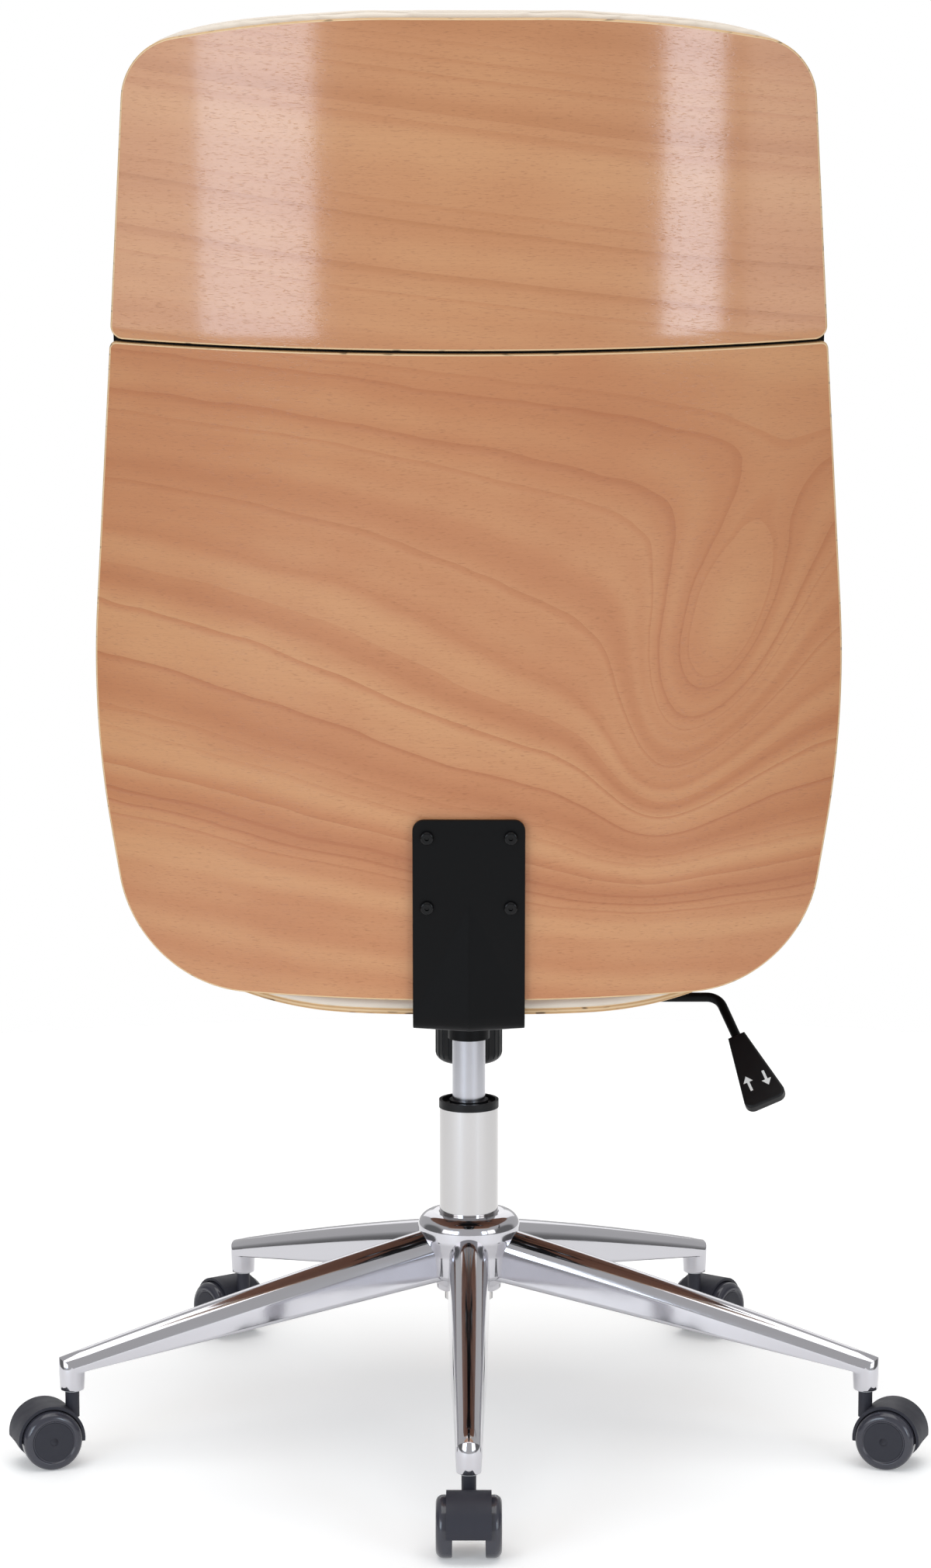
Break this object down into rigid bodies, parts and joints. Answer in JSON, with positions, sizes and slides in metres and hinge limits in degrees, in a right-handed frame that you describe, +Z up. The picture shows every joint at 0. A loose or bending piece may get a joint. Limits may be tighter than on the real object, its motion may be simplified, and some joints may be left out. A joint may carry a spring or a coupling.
{
  "type": "office chair",
  "caption": "High-backed swivel office chair: padded bentwood back shells and seat on a tilting gas-lift column, cast star base and twin-wheel casters.",
  "frame": {"origin": "on the floor under the column axis, the casters resting on it", "axes": "+Z up, the sitter faces -Y, so the back of the chair faces +Y"},
  "size_m": [0.773, 0.7351, 1.2146],
  "materials": {
    "beech_ply": "satin",
    "cream_leatherette": "satin",
    "polished_aluminium": "polished",
    "chromed_steel": "polished",
    "satin_steel": "satin",
    "zinc_steel": "satin",
    "black_steel": "satin",
    "black_plastic": "matte",
    "nylon": "satin",
    "caster_hood_nylon": "matte",
    "caster_wheel_nylon": "gloss"
  },
  "bodies": {
    "base": {"star_base": "polished_aluminium", "caster_sockets": "zinc_steel", "column_tube": "chromed_steel", "column_guide_sleeve": "black_plastic", "thrust_bearing": "zinc_steel"},
    "piston": {"piston_rod": "zinc_steel", "piston": "nylon", "rod_end_clip": "zinc_steel"},
    "mechanism": {"gas_cylinder": "satin_steel", "rod_guide": "nylon", "cone_socket": "black_steel", "tilt_housing": "black_steel", "pivot_pin": "zinc_steel", "tilt_spring": "black_steel", "spring_cup": "zinc_steel"},
    "release": {"release_pin": "zinc_steel"},
    "knob": {"tension_knob": "black_plastic", "tension_bolt": "black_steel"},
    "lock_slide": {"fulcrum_ring": "black_plastic"},
    "lever": {"lever_rod": "black_steel", "lever_paddle": "black_plastic"},
    "seat": {"seat_plate": "black_steel", "seat_plate_screws": "zinc_steel", "seat_shell": "beech_ply", "seat_cushion": "cream_leatherette", "back_bracket": "black_steel", "bracket_foot_screws": "zinc_steel", "bracket_screws": "black_steel", "bracket_nuts": "zinc_steel", "back_shell": "beech_ply", "headrest_shell": "beech_ply", "link_straps": "zinc_steel", "strap_screws": "zinc_steel", "back_pad": "cream_leatherette", "headrest_pad": "cream_leatherette"},
    "caster_1": {"caster_1_hood": "caster_hood_nylon", "caster_1_stem": "zinc_steel", "caster_1_axle": "zinc_steel"},
    "caster_1_left": {"caster_1_wheel_left": "caster_wheel_nylon"},
    "caster_1_right": {"caster_1_wheel_right": "caster_wheel_nylon"},
    "caster_2": {"caster_2_hood": "caster_hood_nylon", "caster_2_stem": "zinc_steel", "caster_2_axle": "zinc_steel"},
    "caster_2_left": {"caster_2_wheel_left": "caster_wheel_nylon"},
    "caster_2_right": {"caster_2_wheel_right": "caster_wheel_nylon"},
    "caster_3": {"caster_3_hood": "caster_hood_nylon", "caster_3_stem": "zinc_steel", "caster_3_axle": "zinc_steel"},
    "caster_3_left": {"caster_3_wheel_left": "caster_wheel_nylon"},
    "caster_3_right": {"caster_3_wheel_right": "caster_wheel_nylon"},
    "caster_4": {"caster_4_hood": "caster_hood_nylon", "caster_4_stem": "zinc_steel", "caster_4_axle": "zinc_steel"},
    "caster_4_left": {"caster_4_wheel_left": "caster_wheel_nylon"},
    "caster_4_right": {"caster_4_wheel_right": "caster_wheel_nylon"},
    "caster_5": {"caster_5_hood": "caster_hood_nylon", "caster_5_stem": "zinc_steel", "caster_5_axle": "zinc_steel"},
    "caster_5_left": {"caster_5_wheel_left": "caster_wheel_nylon"},
    "caster_5_right": {"caster_5_wheel_right": "caster_wheel_nylon"}
  },
  "joints": [
    {"name": "seat_swivel", "type": "hinge", "parent": "base", "child": "piston", "pos_m": [0, 0, 0.2], "axis": [0, 0, 1], "continuous": true},
    {"name": "height_adjust", "type": "slide", "parent": "piston", "child": "mechanism", "axis": [0, 0, 1], "range_m": [-0.045, 0.035]},
    {"name": "release_press", "type": "slide", "parent": "mechanism", "child": "release", "axis": [0, 0, 1], "range_m": [-0.0041, 0]},
    {"name": "tension_turn", "type": "hinge", "parent": "mechanism", "child": "knob", "pos_m": [0, -0.08, 0.3285], "axis": [0, 0, 1], "continuous": true},
    {"name": "tilt_lock", "type": "slide", "parent": "mechanism", "child": "lock_slide", "axis": [-1, 0, 0], "range_m": [0, 0.012]},
    {"name": "lever_lift", "type": "hinge", "parent": "lock_slide", "child": "lever", "pos_m": [-0.042, 0, 0.3755], "axis": [0, 1, 0], "range_deg": [0, 4], "stiffness_Nm_per_rad": 8, "springref_deg": -2.86},
    {"name": "seat_tilt", "type": "hinge", "parent": "mechanism", "child": "seat", "pos_m": [0, -0.125, 0.3895], "axis": [-1, 0, 0], "range_deg": [0, 8], "stiffness_Nm_per_rad": 170, "springref_deg": -20.05, "deforming": ["tilt_spring"]},
    {"name": "caster_1_swivel", "type": "hinge", "parent": "base", "child": "caster_1", "pos_m": [0, 0.35, 0.06], "axis": [0, 0, 1], "continuous": true},
    {"name": "caster_1_roll_left", "type": "hinge", "parent": "caster_1", "child": "caster_1_left", "pos_m": [0, 0.372, 0.025], "axis": [-1, 0, 0], "continuous": true},
    {"name": "caster_1_roll_right", "type": "hinge", "parent": "caster_1", "child": "caster_1_right", "pos_m": [0, 0.372, 0.025], "axis": [-1, 0, 0], "continuous": true},
    {"name": "caster_2_swivel", "type": "hinge", "parent": "base", "child": "caster_2", "pos_m": [-0.33287, 0.10816, 0.06], "axis": [0, 0, 1], "continuous": true},
    {"name": "caster_2_roll_left", "type": "hinge", "parent": "caster_2", "child": "caster_2_left", "pos_m": [-0.35379, 0.11495, 0.025], "axis": [-0.309, -0.9511, 0], "continuous": true},
    {"name": "caster_2_roll_right", "type": "hinge", "parent": "caster_2", "child": "caster_2_right", "pos_m": [-0.35379, 0.11495, 0.025], "axis": [-0.309, -0.9511, 0], "continuous": true},
    {"name": "caster_3_swivel", "type": "hinge", "parent": "base", "child": "caster_3", "pos_m": [-0.20572, -0.28316, 0.06], "axis": [0, 0, 1], "continuous": true},
    {"name": "caster_3_roll_left", "type": "hinge", "parent": "caster_3", "child": "caster_3_left", "pos_m": [-0.21866, -0.30095, 0.025], "axis": [0.809, -0.5878, 0], "continuous": true},
    {"name": "caster_3_roll_right", "type": "hinge", "parent": "caster_3", "child": "caster_3_right", "pos_m": [-0.21866, -0.30095, 0.025], "axis": [0.809, -0.5878, 0], "continuous": true},
    {"name": "caster_4_swivel", "type": "hinge", "parent": "base", "child": "caster_4", "pos_m": [0.20572, -0.28316, 0.06], "axis": [0, 0, 1], "continuous": true},
    {"name": "caster_4_roll_left", "type": "hinge", "parent": "caster_4", "child": "caster_4_left", "pos_m": [0.21866, -0.30095, 0.025], "axis": [0.809, 0.5878, 0], "continuous": true},
    {"name": "caster_4_roll_right", "type": "hinge", "parent": "caster_4", "child": "caster_4_right", "pos_m": [0.21866, -0.30095, 0.025], "axis": [0.809, 0.5878, 0], "continuous": true},
    {"name": "caster_5_swivel", "type": "hinge", "parent": "base", "child": "caster_5", "pos_m": [0.33287, 0.10816, 0.06], "axis": [0, 0, 1], "continuous": true},
    {"name": "caster_5_roll_left", "type": "hinge", "parent": "caster_5", "child": "caster_5_left", "pos_m": [0.35379, 0.11495, 0.025], "axis": [-0.309, 0.9511, 0], "continuous": true},
    {"name": "caster_5_roll_right", "type": "hinge", "parent": "caster_5", "child": "caster_5_right", "pos_m": [0.35379, 0.11495, 0.025], "axis": [-0.309, 0.9511, 0], "continuous": true}
  ],
  "couplings": [
    {"joint": "release_press", "follows": "lever_lift", "m_per_rad": -0.056}
  ]
}
